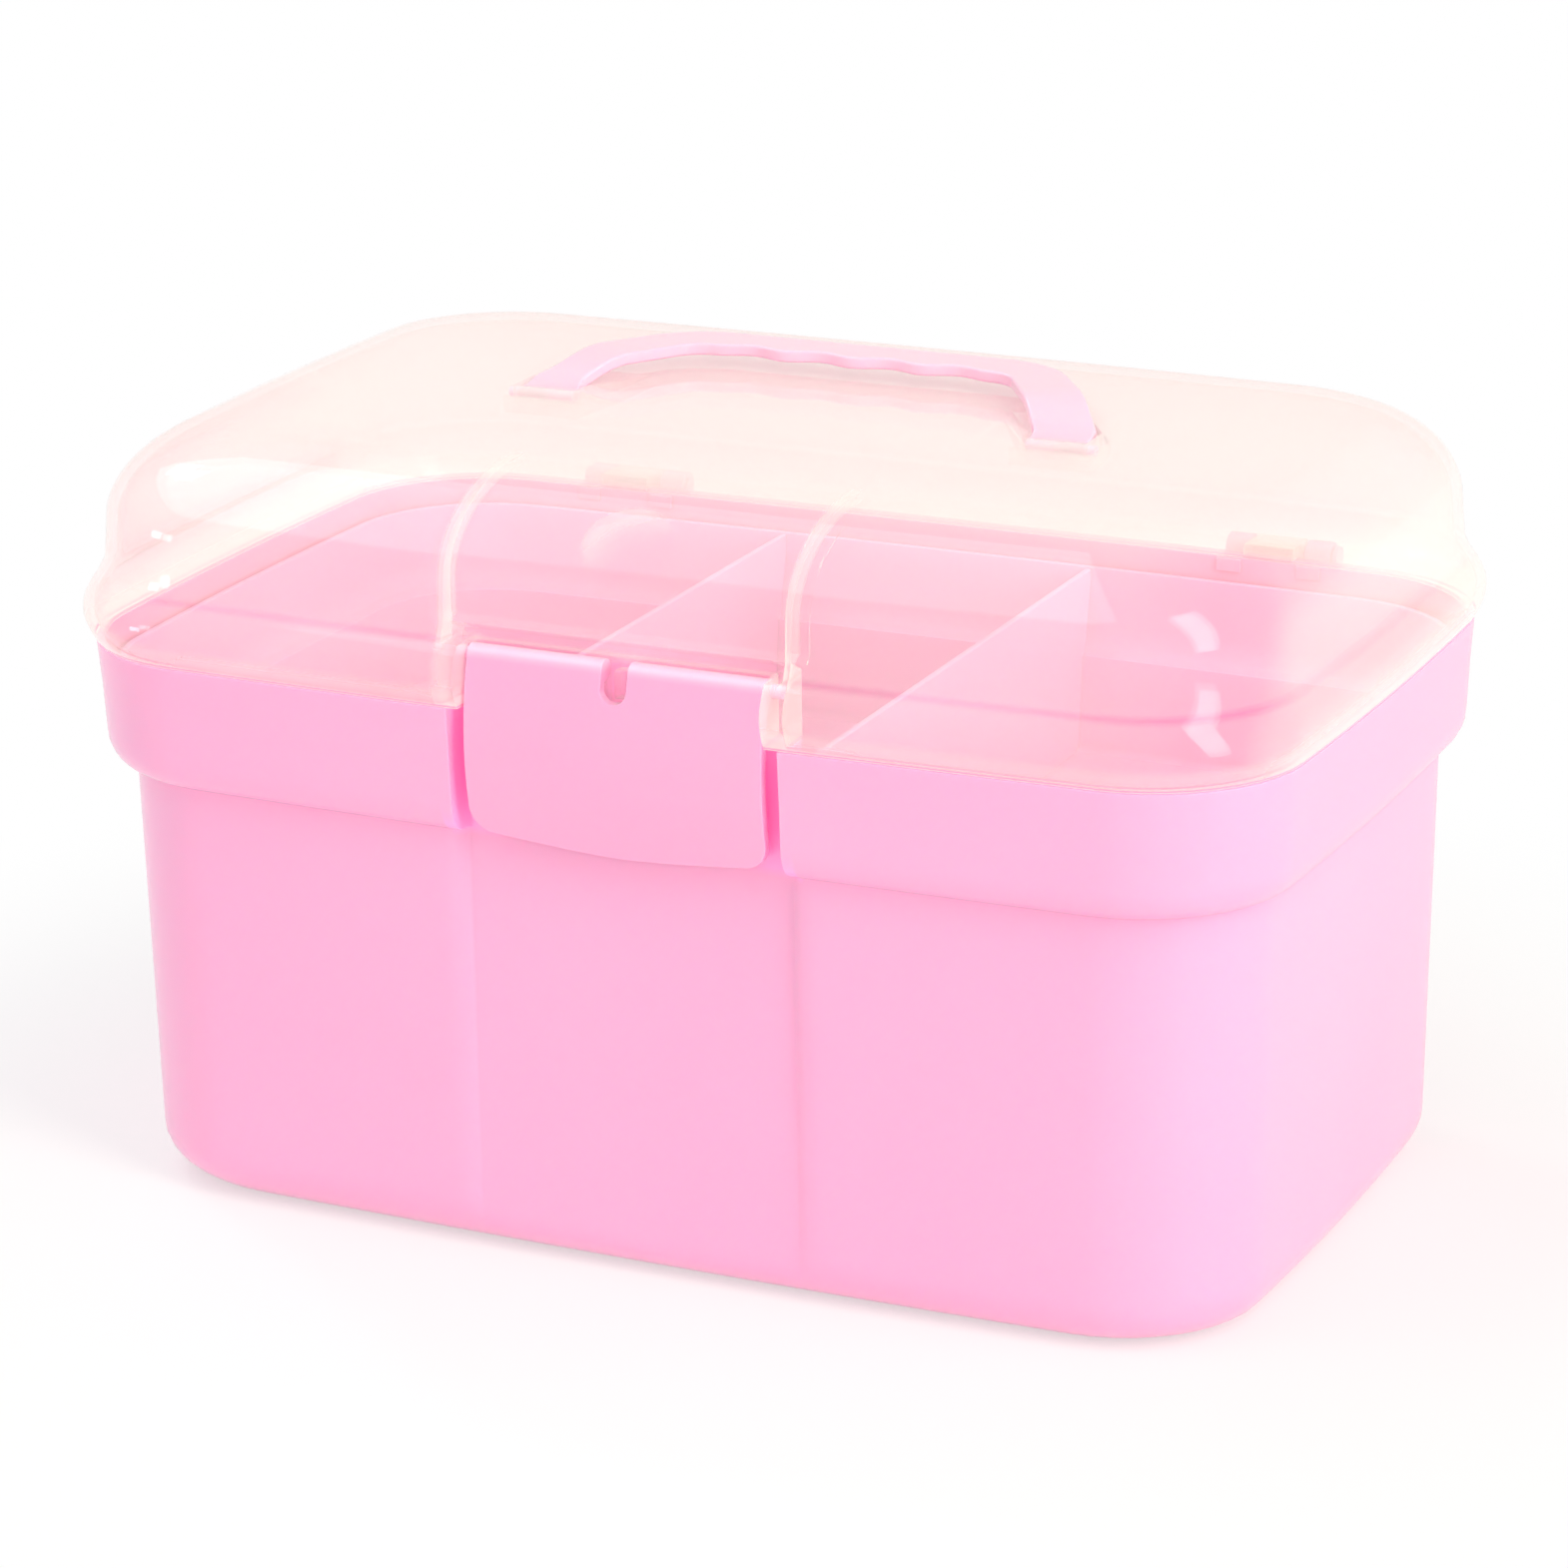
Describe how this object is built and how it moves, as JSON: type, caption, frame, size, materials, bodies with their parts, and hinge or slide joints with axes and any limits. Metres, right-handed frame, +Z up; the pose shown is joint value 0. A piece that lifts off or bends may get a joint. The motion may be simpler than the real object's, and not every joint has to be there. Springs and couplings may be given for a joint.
{
  "type": "horse grooming box",
  "caption": "Moulded carry box for grooming kit, with a clear domed lid on rear hinges, a front snap latch, a folding top handle and a lift-out divided tray.",
  "frame": {"origin": "under the middle of the tub, on the surface that it stands on", "axes": "+X along the front to the right, +Y to the back, +Z up"},
  "size_m": [0.3312, 0.2145, 0.2056],
  "materials": {
    "pink_plastic": "satin moulded polypropylene",
    "clear_plastic": "glossy clear moulded plastic",
    "latch_plastic": "satin moulded polypropylene",
    "handle_plastic": "satin moulded polypropylene",
    "tray_plastic": "satin moulded polypropylene"
  },
  "bodies": {
    "tub": {"tub": "pink_plastic", "hinge_pin_left": "latch_plastic", "hinge_pin_right": "latch_plastic"},
    "lid": {"lid": "clear_plastic"},
    "latch": {"latch": "latch_plastic"},
    "handle": {"handle": "handle_plastic"},
    "tray": {"tray": "tray_plastic"}
  },
  "joints": [
    {"name": "lid_hinge", "type": "hinge", "parent": "tub", "child": "lid", "pos_m": [0, 0.1076, 0.1462], "axis": [-1, 0, 0], "range_deg": [0, 105]},
    {"name": "latch_pivot", "type": "hinge", "parent": "lid", "child": "latch", "pos_m": [0, -0.094, 0.159], "axis": [-1, 0, 0], "range_deg": [0, 100]},
    {"name": "handle_pivot", "type": "hinge", "parent": "lid", "child": "handle", "pos_m": [0, 0.008, 0.1966], "axis": [1, 0, 0], "range_deg": [0, 90]},
    {"name": "tray_lift", "type": "slide", "parent": "tub", "child": "tray", "axis": [0, 0, 1], "range_m": [0, 0.006]}
  ]
}
